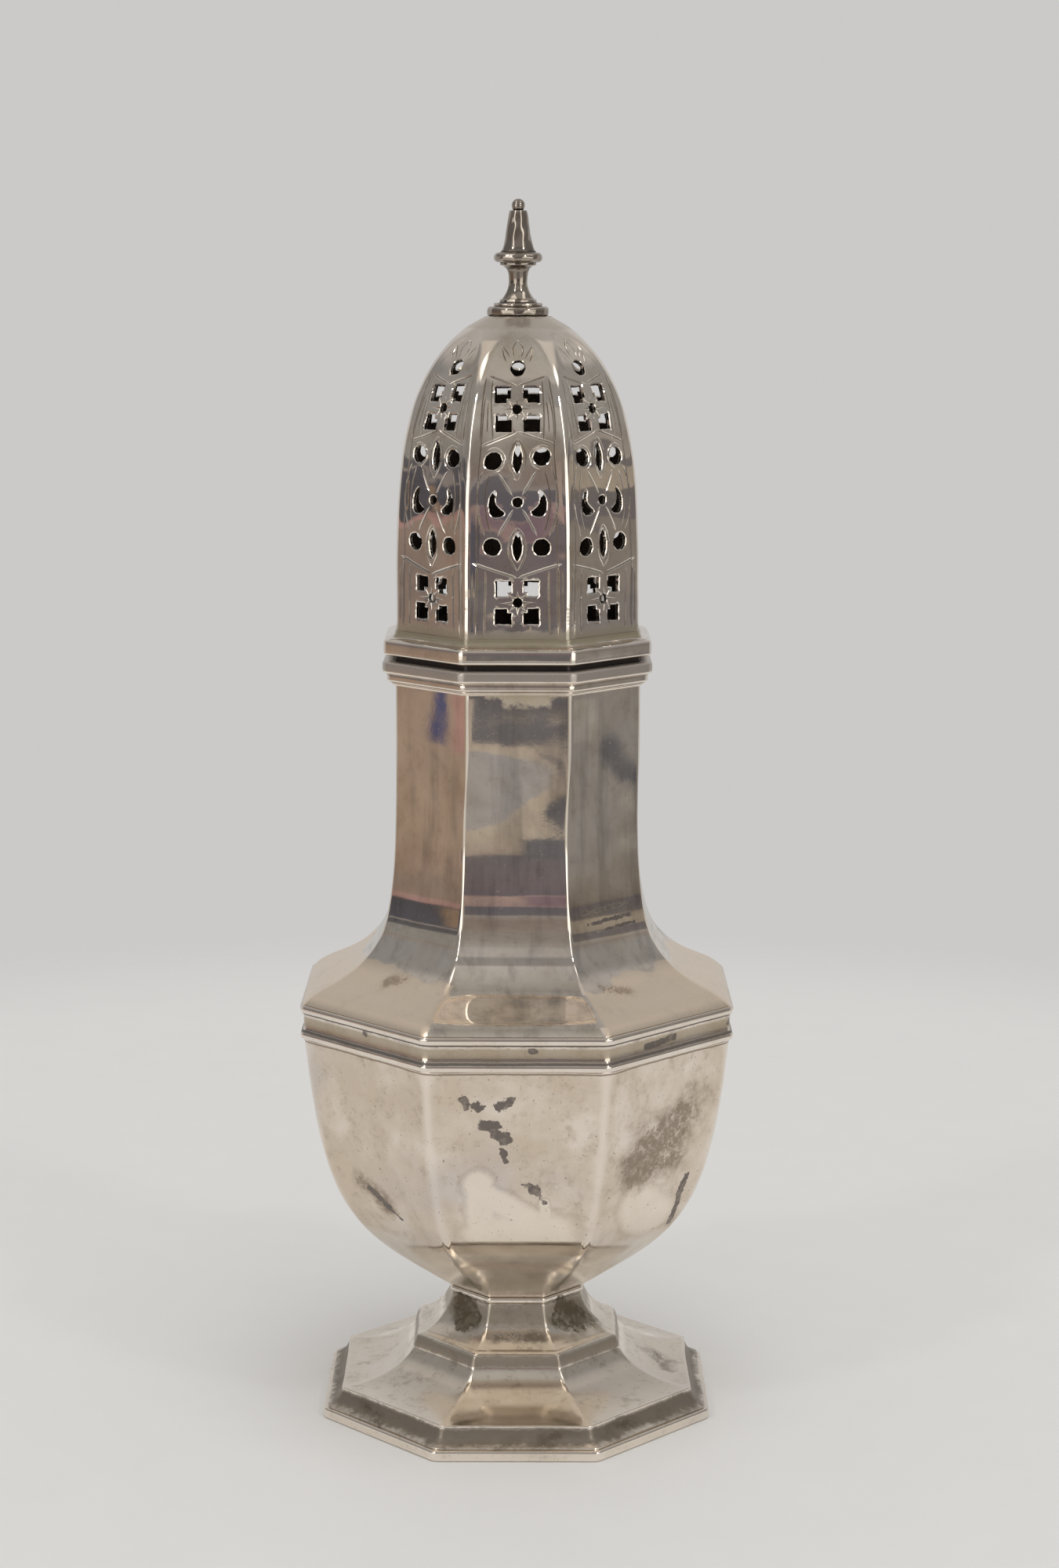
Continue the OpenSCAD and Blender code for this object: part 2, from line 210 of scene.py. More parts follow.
def skin(x, y, z):
    """Points and faces of a grid that closes both round and along."""
    rows, columns = x.shape
    i, j = np.meshgrid(np.arange(rows), np.arange(columns), indexing="ij")
    up, on = (i + 1) % rows, (j + 1) % columns
    points = np.stack([x, y, np.broadcast_to(np.asarray(z)[:, None], x.shape)], -1).reshape(-1, 3)
    faces = np.stack([i * columns + j, i * columns + on, up * columns + on, up * columns + j], -1)
    return points, faces.reshape(-1, 4)


def outer_wall(ring):
    """Which points of a section lie on its outward side, where the ring runs upwards."""
    return np.roll(ring[:, 1], -1) > np.roll(ring[:, 1], 1)


def octagonal(node, body, name, ridge, fillet, spacing, seed, dish=0.0, bulge=0.0, barrels=(), twist=None,
              uneven=0.012):
    """A shell or wire drawn over a solid's own section. Ridge is the ridges' radius as (share of half width,
    added), barrels are faces rounded off between two heights above its foot by a depth, and twist is how far
    in degrees the outer wall turns above and below a height, and within what reach of it."""
    ring = section(node, HALF_PANEL) * [math.cos(HALF_PANEL), 1]
    ring = flow(ring, fillet, spacing)
    inner, outer = ring[:, 0].min(), ring[:, 0].max()
    for low, high, depth in barrels:
        t = (ring[:, 1] - ring[:, 1].min() - low) / (high - low) * 2 - 1
        outside = smooth_step(ring[:, 0], inner + 0.2, outer - 0.4)
        ring[:, 0] -= depth * np.where(np.abs(t) < 1.01, t**6, 0) * outside
    half = ring[:, 0]
    wear = 1 + 0.7 * sway(ring * [0, 1] @ np.eye(2, 3, 1), 8, 1, seed + 20)
    radius = (ridge[0] * half + ridge[1]) * wear
    x, y, near = panel_rings(half, radius, dish * smooth_step(half, 8, 30), bulge)
    if twist:
        turn, height, reach = twist
        z = ring[:, 1:]
        a = math.radians(turn) * (2 * smooth_step(z, height - reach, height + reach) - 1)
        a = a * smooth_step(z, z.min(), z.min() + 8) * smooth_step(-z, -z.max(), 5 - z.max())
        a = np.where(outer_wall(ring)[:, None], a, 0)
        x, y = x * np.cos(a) - y * np.sin(a), x * np.sin(a) + y * np.cos(a)
    points, faces = skin(x, y, ring[:, 1])
    out = points * [1, 1, 0]
    out /= np.linalg.norm(out, axis=1)[:, None] + 1e-9
    points += out * (sway(points, 13, uneven, seed) + sway(points, 4.5, uneven / 5, seed + 50))[:, None]
    hollow = np.repeat(hollowness(ring, 0.9), x.shape[1])
    add_piece(name, points, faces, body, node, {"hollow": hollow, "ridge": np.tile(near, len(ring))})


def turned(node, body, name, fillet, spacing=0.15):
    """A round piece drawn over a turned solid's own section, a little uneven from filing."""
    ring = flow(section(node, 0), fillet, spacing)
    angle = np.linspace(0, 2 * math.pi, TURNED_STEPS, endpoint=False)[None, :]
    reach = np.maximum(ring[:, 0], 1e-3)[:, None]
    points, faces = skin(reach * np.cos(angle), reach * np.sin(angle), ring[:, 1])
    points[:, :2] *= 1 + (sway(points, 1.6, 0.14, 41) / np.repeat(reach[:, 0] + 1, TURNED_STEPS))[:, None]
    hollow = np.repeat(hollowness(ring, 0.5), TURNED_STEPS)
    add_piece(name, points, faces, body, node, {"hollow": hollow, "ridge": np.zeros(len(points))})


octagonal("foot_rim", "vessel", "base_wire", (0.05, 0.6), 0.4, 0.5, 3, uneven=0.02)
octagonal("foot", "vessel", "foot_shell", (0.035, 0.6), 0.45, 0.4, 5, dish=0.12, uneven=0.09)
octagonal("foot_collar", "vessel", "stem_collar", (0.05, 0.4), 0.35, 0.3, 7)
octagonal("bowl", "vessel", "bowl_shell", (0.075, 0.3), 0.2, 0.65, 9, dish=0.3, uneven=0.05)
octagonal("waist_moulding", "vessel", "waist_reeds", (0.06, 0.4), 0.4, 0.25, 11, uneven=0.03)
octagonal("neck", "vessel", "neck_shell", (0.045, 0.2), 0.2, 0.65, 13, bulge=0.05, twist=(0.8, 95.5, 7),
          uneven=0.016)
octagonal("mouth_moulding", "vessel", "mouth_band", (0.05, 0.7), 0.3, 0.13, 15,
          barrels=((0.6, 1.78, 0.24), (1.8, 3.7, 0.34)), uneven=0.05)
octagonal("cover_sleeve", "cover", "slip_sleeve", (0.06, 0), 0.1, 0.8, 17)
octagonal("cover_moulding", "cover", "cover_band", (0.05, 0.7), 0.3, 0.13, 19, barrels=((0, 2.5, 0.4),),
          uneven=0.05)
turned("finial_collar", "cover", "finial_seat", 0.55)
turned("finial", "cover", "finial_turning", 0.5)


# Dome: pierced and engraved panels, worked out flat as (share across, run up) and then set round

dome_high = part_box("dome")[1] / MM
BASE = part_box("cover_moulding")[1].z / MM
DOME_GAUGE = 0.6
BEVEL, BEVEL_DROP = 0.15, 0.07
CUT_WIDTH, CUT_DEPTH = 0.33, 0.12
# radius of the ridges, and how much it grows between which heights, until they run out below the collar
DOME_RIDGE, RIDGE_GROWTH = 1.15, ((1.1, 143, 155), (6, 156, 162))
DOME_DISH = 0.12
# half width of the flat working plane, and points along a panel's foot or top and up its sides
PANEL_SPAN, EDGE_STEPS, SIDE_STEPS = 7.2, 30, 100
ROW_SHARES = {"head": 0.845, "upper_square": 0.720, "upper_round": 0.568, "middle": 0.433,
              "lower_round": 0.292, "lower_square": 0.118}
ROW = {name: BASE + share * (dome_high.z - BASE) for name, share in ROW_SHARES.items()}


def dome_outside():
    """The dome's outside line from its foot to its top as (half width, height)."""
    ring = section("dome", HALF_PANEL) * [math.cos(HALF_PANEL), 1]
    ring = np.roll(ring, -int(np.argmin(ring[:, 1] - 0.01 * ring[:, 0])), 0)
    return curve_through(ring[:int(np.argmax(ring[:, 1] + 0.01 * ring[:, 0])) + 1], 0.1)


dome_line = dome_outside()
dome_slope = np.gradient(dome_line, axis=0)
dome_slope /= np.linalg.norm(dome_slope, axis=1)[:, None]
dome_run = np.concatenate([[0], np.cumsum(np.linalg.norm(np.diff(dome_line, axis=0), axis=1))])


def panel_place(flat):
    """Places on the front panel, their outward directions and how near each lies to a ridge."""
    share, run = flat[:, 0] / PANEL_SPAN, flat[:, 1]
    half, height = (np.interp(run, dome_run, dome_line[:, k]) for k in (0, 1))
    lean, climb = (np.interp(run, dome_run, dome_slope[:, k]) for k in (0, 1))
    ridge = sum((more * smooth_step(height, low, high) for more, low, high in RIDGE_GROWTH), DOME_RIDGE)
    ridge = np.minimum(ridge, 0.97 * half)
    half = half + RIDGE_KEEP * ridge
    u = share * half * HALF_TAN
    flat_half = (half - ridge) * HALF_TAN
    past = np.maximum(np.abs(u) - flat_half, 0)
    turn = np.arctan2(past, ridge) * np.sign(u)
    dish = DOME_DISH * smooth_step(1 - np.abs(u) / flat_half, 0, 0.22) * smooth_step(half, 6, 14)
    x = np.where(past > 0, np.sign(u) * flat_half + ridge * np.sin(turn), u)
    y = np.where(past > 0, half - ridge + ridge * np.cos(turn), half - dish)
    out = np.stack([np.sin(turn) * climb, -np.cos(turn) * climb, -lean], 1)
    return np.stack([x, -y, height], 1), out, np.abs(turn) / HALF_PANEL


def on_panel(points):
    """Places given as (offset from the panel's middle, height), in the flat working plane."""
    points = np.asarray(points, float)
    half, run = (np.interp(points[:, 1], dome_line[:, 1], line) for line in (dome_line[:, 0], dome_run))
    return np.stack([points[:, 0] / (half * HALF_TAN) * PANEL_SPAN, run], 1)


def arc(cx, cz, r, start, end, count):
    a = np.radians(np.linspace(start, end, count))
    return np.stack([cx + r * np.cos(a), cz + r * np.sin(a)], 1)


def round_hole(cx, cz, r, count=28):
    return arc(cx, cz, r, 0, 360, count + 1)[:-1]


def navette(cz, high, wide, count=12):
    """A pointed oval hole."""
    t = np.linspace(-1, 1, count + 1)
    side = np.stack([wide / 2 * (1 - t**2)**0.85, cz + t * high / 2], 1)
    return np.vstack([side[:-1], (side * [-1, 1])[::-1][:-1]])


def crescent(cz, side):
    """A bean-shaped hole with a thin upper horn and a broad toe, clockwise from the horn."""
    outline = np.array([(-3.05, 1.58), (-3.51, 1.16), (-3.82, 0.5), (-3.97, -0.2), (-3.95, -0.9),
                        (-3.78, -1.55), (-3.4, -1.98), (-2.9, -2.07), (-2.3, -1.95), (-1.88, -1.68),
                        (-1.86, -1.4), (-2.3, -1.0), (-2.71, -0.63), (-3.0, -0.1), (-3.08, 0.5),
                        (-2.95, 1.1), (-2.92, 1.45)])
    closed = curve_through(np.vstack([outline, outline[:1]]), 0.25)[:-1]
    return closed * [-side, 1] + [0, cz]


def square_corner(cz, size, bar, notch, sx, sz, steps=4):
    """One corner opening of a square cluster, with a notched inner corner."""
    lo, hi = bar / 2, size / 2
    corners = np.array([(lo + notch, lo), (hi, lo), (hi, hi), (lo, hi), (lo, lo + notch),
                        (lo + notch, lo + notch)])
    sides = zip(corners, np.roll(corners, -1, 0))
    path = [a + (b - a) * t for a, b in sides for t in np.arange(steps) / steps]
    return np.array(path) * [sx, sz] + [0, cz]


def piercings():
    loops = [round_hole(0, ROW["head"], 1.05)]
    for row in ("upper_square", "lower_square"):
        loops += [square_corner(ROW[row], 6.2, 1.7, 0.6, sx, sz) for sx in (-1, 1) for sz in (-1, 1)]
    for row in ("upper_round", "lower_round"):
        loops += [round_hole(sx * 3.4, ROW[row], 1.22) for sx in (-1, 1)]
        loops.append(navette(ROW[row], 4.0, 1.3))
    loops += [round_hole(0, ROW[row], 0.7, 18) for row in ("upper_square", "middle", "lower_square")]
    loops += [crescent(ROW["middle"], sx) for sx in (-1, 1)]
    return loops


def bowed(a, b, bulge, count=14):
    """A line from a to b that bows sideways by bulge."""
    t = np.linspace(0, 1, count)[:, None]
    return (1 - t) * np.array(a) + t * np.array(b) + 4 * t * (1 - t) * np.array([bulge, 0])


def engraving():
    """Bright-cut lines of one panel as (points, width, depth, whether only its end runs out to a point)."""
    cuts = []

    def cut(line, width=1.0, depth=1.0, ray=False):
        line = np.asarray(line, float)
        cuts.extend((way, width * CUT_WIDTH, depth * CUT_DEPTH, ray) for way in (line, line * [-1, 1]))

    # leaf above the head hole
    cut(bowed((0.35, 156.0), (0.02, 158.3), 0.5))
    cut([(0.95, 155.8), (1.35, 156.6), (2.0, 157.6)])
    cut([(1.6, 155.4), (1.95, 156.4), (2.05, 157.5)], 0.8)
    # frame of the upper cluster
    cut([(0.05, 152.3), (3.9, 153.6)], 1.15)
    cut([(3.4, 153.1), (3.55, 144.8)])
    cut([(4.3, 153.4), (5.2, 144.5)])
    cut([(3.95, 150.2), (4.3, 145.8)], 0.7)
    cut([(0.05, 146.0), (5.2, 144.2)], 1.3)
    # leaves round the pointed ovals
    for row, up, down in (("upper_round", 2.75, 2.95), ("lower_round", 2.75, 3.2)):
        cut(bowed((0.04, ROW[row] + up), (0.04, ROW[row] - down), 1.15))
    cut([(0.3, 144.85), (0.8, 143.7)], 0.8)
    # crossed ribbons and side bows of the middle
    cut([(2.55, 140.5), (0.65, 137.3)], 1.25)
    cut([(0.6, 135.35), (2.65, 131.7)], 1.25)
    cut(bowed((4.75, 140.9), (4.5, 131.7), 0.95))
    cut(bowed((3.75, 140.4), (3.7, 132.1), 0.75), 0.8)
    cut(arc(3.4, ROW["upper_round"], 1.65, 60, 260, 20), 0.8, 0.6)
    # frame of the lower cluster
    cut([(0.05, 125.85), (6.25, 127.75)], 1.4)
    cut([(4.45, 126.8), (4.5, 117.6)])
    cut([(5.75, 127.2), (5.8, 117.6)])
    cut([(6.3, 126.4), (6.35, 118.4)], 0.6, 0.7)
    # fine line along the ridge
    heights = np.linspace(119, 151, 14)
    beside = np.interp(heights, dome_line[:, 1], dome_line[:, 0]) * HALF_TAN - 1.5
    cut(np.stack([beside, heights], 1), 0.7, 0.8)
    # rays of the stars
    for row in ("upper_square", "lower_square"):
        for k in range(-2, 3):
            way = np.array([math.cos(k * PANEL), math.sin(k * PANEL)])
            far = {0: 2.35, 1: 1.75, 2: 1.65}[abs(k)]
            cut([way * 0.8 + [0, ROW[row]], way * far + [0, ROW[row]]], 1.5, 1.1, True)
    return cuts


def spread(line, step):
    """A line with points at most a step apart, and how far along each lies."""
    out = [line[0]]
    for a, b in zip(line, line[1:]):
        count = max(1, math.ceil(np.linalg.norm(b - a) / step))
        out += [a + (b - a) * t for t in np.arange(1, count + 1) / count]
    out = np.array(out)
    return out, np.concatenate([[0], np.cumsum(np.linalg.norm(np.diff(out, axis=0), axis=1))])


def cut_depth(points, lines):
    """How deep points lie under lines given as (a, b, half width at a, at b, greatest half width, depth)."""
    best = np.zeros(len(points))
    for a, b, wa, wb, full, depth in lines:
        way = b - a
        t = np.clip(((points - a) @ way) / (way @ way), 0, 1)
        wide = wa + (wb - wa) * t
        gap = np.linalg.norm(points - a - t[:, None] * way, axis=1)
        best = np.maximum(best, depth * np.clip(1 - gap / wide, 0, 1) * wide / full)
    return best


def within(points, loop):
    """Which points lie inside a closed loop."""
    hit = np.zeros(len(points), bool)
    for (x0, y0), (x1, y1) in zip(loop, np.roll(loop, -1, 0)):
        if y0 != y1:
            crossing = (x1 - x0) * (points[:, 1] - y0) / (y1 - y0) + x0
            hit ^= ((y0 > points[:, 1]) != (y1 > points[:, 1])) & (points[:, 0] < crossing)
    return hit


class Sheet:
    """A flat panel being laid out: points, the edges that triangles must keep, and the loops left open."""

    def __init__(self, loops):
        self.points, self.edges, self.loops = [], [], loops

    def line(self, points, closed=False):
        start, count = len(self.points), len(points)
        self.points.extend(points)
        self.edges.extend((start + i, start + (i + 1) % count) for i in range(count if closed else count - 1))

    def triangles(self, filler):
        points = [Vector(p) for p in [*self.points, *filler]]
        co, _, faces = delaunay_2d_cdt(points, self.edges, [], 0, 1e-5)[:3]
        co = np.array([(v.x, v.y) for v in co])
        faces = np.array([f for f in faces if len(f) == 3])
        middle = co[faces].mean(axis=1)
        faces = faces[~np.any([within(middle, loop) for loop in self.loops], axis=0)]
        a, b, c = (co[faces[:, k]] for k in range(3))
        turn = (b - a)[:, 0] * (c - a)[:, 1] - (b - a)[:, 1] * (c - a)[:, 0]
        faces[turn < 0] = faces[turn < 0][:, ::-1]
        return co, faces[np.abs(turn) > 1e-7]


def lay_out():
    """One panel's outside and inside as flat triangles, hole loops, and how deep its cuts and rims lie."""
    rng = np.random.default_rng(23)
    loops = [on_panel(loop + rng.normal(scale=0.025, size=loop.shape)) for loop in piercings()]
    outside, lining = Sheet(loops), Sheet(loops)
    rise = dome_run[-1]
    up, across = np.linspace(0, rise, SIDE_STEPS), np.linspace(-PANEL_SPAN, PANEL_SPAN, EDGE_STEPS)[1:-1]
    for sheet in (outside, lining):
        for side in (-PANEL_SPAN, PANEL_SPAN):
            sheet.line(np.stack([np.full(len(up), side), up], 1))
        for run in (0, rise):
            sheet.line(np.stack([across, np.full(len(across), run)], 1))
        for loop in loops:
            sheet.line(loop, True)
    rims, grooves = [], []
    for loop in loops:
        way = np.roll(loop, -1, 0) - np.roll(loop, 1, 0)
        area = np.sum(loop[:, 0] * np.roll(loop[:, 1], -1) - np.roll(loop[:, 0], -1) * loop[:, 1])
        out = np.stack([way[:, 1], -way[:, 0]], 1) / np.linalg.norm(way, axis=1)[:, None] * np.sign(area)
        outside.points.extend(loop + out * BEVEL)
        rims += [(a, b, BEVEL, BEVEL, BEVEL, BEVEL_DROP) for a, b in zip(loop, np.roll(loop, -1, 0))]
    for line, width, depth, ray in engraving():
        path, place = spread(on_panel(line), 0.4)
        left = place[-1] - place
        thin = left / place[-1] if ray else np.sqrt(np.clip(np.minimum(place, left) / 0.8, 0, 1))
        wide = np.maximum(thin, 0.06) * width / 2
        way = np.gradient(path, axis=0)
        aside = np.stack([-way[:, 1], way[:, 0]], 1) / np.linalg.norm(way, axis=1)[:, None] * wide[:, None]
        for rail in (path, path + aside, path - aside):
            outside.line(rail)
        grooves += [(a, b, wa, wb, width / 2, depth) for a, b, wa, wb in zip(path, path[1:], wide, wide[1:])]
    by_ridge = np.array([0.15, 0.3, 0.45, 0.62]) - PANEL_SPAN
    columns = np.concatenate([np.arange(0.85 - PANEL_SPAN, 0, 0.5), by_ridge])
    x, y = np.meshgrid(np.concatenate([columns, -columns]), np.arange(0.3, rise - 0.2, 0.5))
    filler = np.stack([x.ravel(), y.ravel()], 1)
    taken = np.array(outside.points)
    clear = np.array([np.min(np.sum((taken - f)**2, axis=1)) > 0.13**2 for f in filler])
    outer = outside.triangles(filler[clear])
    inner = lining.triangles(filler[::3])
    return outer, inner, loops, cut_depth(outer[0], grooves), cut_depth(outer[0], rims)


def build_dome():
    """Eight panels, each a little different as hand work is, joined into one pierced shell."""
    outer, inner, loops, cut, rim = lay_out()
    rise = dome_run[-1]
    parts, faces, inside_faces = [], [], []
    values = {"hollow": [], "ridge": []}

    def dents(points):
        return sway(points, 9, 0.085, 31) + sway(points, 4, 0.022, 32)

    def take(points, new, hollow, near, inside):
        start = sum(len(p) for p in parts)
        parts.append(points)
        faces.extend(tuple(int(v) + start for v in f) for f in new)
        inside_faces.extend([inside] * len(new))
        values["hollow"].append(np.broadcast_to(hollow, len(points)))
        values["ridge"].append(np.broadcast_to(near, len(points)))

    rng = np.random.default_rng(8)
    edge = np.linspace(-PANEL_SPAN, PANEL_SPAN, EDGE_STEPS)
    for k in range(SIDES):
        turn = np.array(Matrix.Rotation(k * PANEL, 3, "Z")).T
        tilt = rng.uniform(-0.3, 0.3, 2) if k else np.array([0.42, -0.05])

        def wander(flat):
            """The work pushed a little out of place inside the panel, with tilted rows of round holes."""
            across, run = flat.T
            keep = smooth_step(PANEL_SPAN - np.abs(across), 0, 1.2)
            keep = keep * smooth_step(run, 0, 2) * smooth_step(rise - run, 0, 2)
            spot = np.c_[flat, 0 * across]
            height = np.interp(run, dome_run, dome_line[:, 1])
            lift = sum(t * across / 3.6 * np.exp(-((height - ROW[row]) / 2.2)**2)
                       for t, row in zip(tilt, ("upper_round", "lower_round")))
            push = np.stack([sway(spot, 9, 0.22, 100 + k), sway(spot, 9, 0.22, 200 + k) + lift], 1)
            return flat + push * keep[:, None]

        place, out, near = panel_place(wander(outer[0]))
        drop = np.maximum(cut, rim) + dents(place @ turn)
        hollow = np.minimum(1.6 * cut / CUT_DEPTH, 1.2)
        take((place - out * drop[:, None]) @ turn, outer[1], hollow, near, False)
        place, out, _ = panel_place(wander(inner[0]))
        take((place - out * DOME_GAUGE) @ turn, inner[1][:, ::-1], 0.8, 0, True)
        for loop in loops:
            place, out, _ = panel_place(wander(loop))
            n, drop = len(loop), BEVEL_DROP + dents(place @ turn)
            take(np.vstack([place - out * drop[:, None], place - out * DOME_GAUGE]) @ turn,
                 [(i, (i + 1) % n, n + (i + 1) % n, n + i) for i in range(n)], 0.4, 0, False)
        for run in (0, rise):
            n = len(edge)
            place, out, _ = panel_place(np.stack([edge, np.full(n, run)], 1))
            take(np.vstack([place - out * dents(place @ turn)[:, None], place - out * DOME_GAUGE]) @ turn,
                 [(i, i + 1, n + i + 1, n + i) for i in range(n - 1)], 0.4, 0, False)
    # points that meet at the ridges and rims become one, a little off so that none lies where rounding turns
    points = np.vstack(parts)
    grid = np.round(points + 0.00037, 3)
    first, index = np.unique(grid, axis=0, return_index=True, return_inverse=True)[1:]
    index = index.reshape(-1)
    faces = [tuple(index[list(f)]) for f in faces]
    whole = [len(set(f)) == len(f) for f in faces]
    values = {key: np.concatenate(v)[first] for key, v in values.items()}
    faces = [f for f, w in zip(faces, whole) if w]
    dome = add_piece("pierced_dome", points[first], faces, "cover", "dome", values)
    dome.data.polygons.foreach_set("material_index", [int(i) for i, w in zip(inside_faces, whole) if w])
    dome.data.set_sharp_from_angle(angle=math.radians(20))


build_dome()


# Finishes

class Wire:
    """A socket whose operators add the nodes that work out an expression."""

    def __init__(self, paint, socket):
        self.paint, self.socket = paint, socket

    def math(self, operation, *others):
        return self.paint.node("Math", {"operation": operation}, self, *others)[0]

    def __add__(self, other):
        return self.math("ADD", other)

    def __sub__(self, other):
        return self.math("SUBTRACT", other)

    def __rsub__(self, other):
        return self.paint.node("Math", {"operation": "SUBTRACT"}, other, self)[0]

    def __mul__(self, other):
        return self.math("MULTIPLY", other)

    def __truediv__(self, other):
        return self.math("DIVIDE", other)

    def __abs__(self):
        return self.math("ABSOLUTE")

    __radd__, __rmul__ = __add__, __mul__

    def most(self, other):
        return self.math("MAXIMUM", other)

    def least(self, other):
        return self.math("MINIMUM", other)

    def rise(self, low, high):
        """0 at low, 1 at high and smooth between; low may be the greater."""
        return self.paint.node("MapRange", {"interpolation_type": "SMOOTHSTEP"}, self, low, high, 0.0, 1.0)[0]


class Paint:
    """The node tree of one finish."""

    def __init__(self, tree):
        self.tree = tree
        tree.nodes.clear()

    def node(self, kind, settings=None, *values, **named):
        """A node of a kind: its settings are made first, then its sockets are filled in order or by name."""
        new = self.tree.nodes.new("ShaderNode" + kind)
        for key, value in (settings or {}).items():
            if key == "stops":
                ramp = new.color_ramp
                while len(ramp.elements) < len(value):
                    ramp.elements.new(1.0)
                for element, (place, colour) in zip(ramp.elements, value):
                    element.position, element.color = place, (*colour, 1)
            else:
                setattr(new, key, value)
        for key, value in [*enumerate(values), *named.items()]:
            socket = new.inputs[key if isinstance(key, int) else key.replace("_", " ")]
            if isinstance(value, Wire):
                self.tree.links.new(value.socket, socket)
            elif value is not None:
                socket.default_value = value
        return [Wire(self, s) for s in new.outputs]

    def mix(self, amount, a, b):
        """Colour a turning into colour b."""
        full = lambda c: c if isinstance(c, Wire) else (*c, 1)
        values = [amount, *[None] * 5, full(a), full(b)]
        return self.node("Mix", {"data_type": "RGBA"}, *values)[2]

    def noise(self, where, scale, detail=3.0, roughness=0.55):
        return self.node("TexNoise", None, where, None, scale, detail, roughness)[0]

    def vector(self, operation, *values, **named):
        return self.node("VectorMath", {"operation": operation}, *values, **named)

    def away(self, where, a, b):
        """Distance in mm from the line between two places given in mm."""
        way = np.subtract(b, a)
        off = self.vector("SUBTRACT", where, [c * MM for c in a])[0]
        share = self.vector("DOT_PRODUCT", off, list(way / (way @ way + 1e-9) / MM))[1].most(0).least(1)
        return self.vector("DISTANCE", off, self.vector("SCALE", list(way * MM), Scale=share)[0])[1] / MM

    def output(self, shader):
        self.node("OutputMaterial", None, shader)


def finish(name):
    material = bpy.data.materials.new(name)
    material.use_nodes = True
    return material, Paint(material.node_tree)


# tones of the silver and of what lies on it
CLEAN = (0.92, 0.84, 0.75)
BARE = (0.97, 0.88, 0.76)
PATINA = (0.77, 0.67, 0.56)
DUSK = (0.66, 0.60, 0.58)
GRIME = (0.27, 0.205, 0.145)
TARNISH = (0.16, 0.135, 0.12)
CHALK = (0.60, 0.52, 0.36)
OLIVE = (0.34, 0.29, 0.19)
# nearly black painted shade for the gap between the mouth band and the cover band
GAP_SHADE = (0.02, 0.014, 0.012)
DRAWN = (0.36, 0.33, 0.31)
DULL = (0.97, 0.82, 0.66)
LINING = (0.62, 0.56, 0.48)
finishes = {}


def greatest(fields):
    """The greatest of several fields, or nothing when there are none."""
    total = None
    for field in fields:
        total = total.most(field) if total else field
    return total


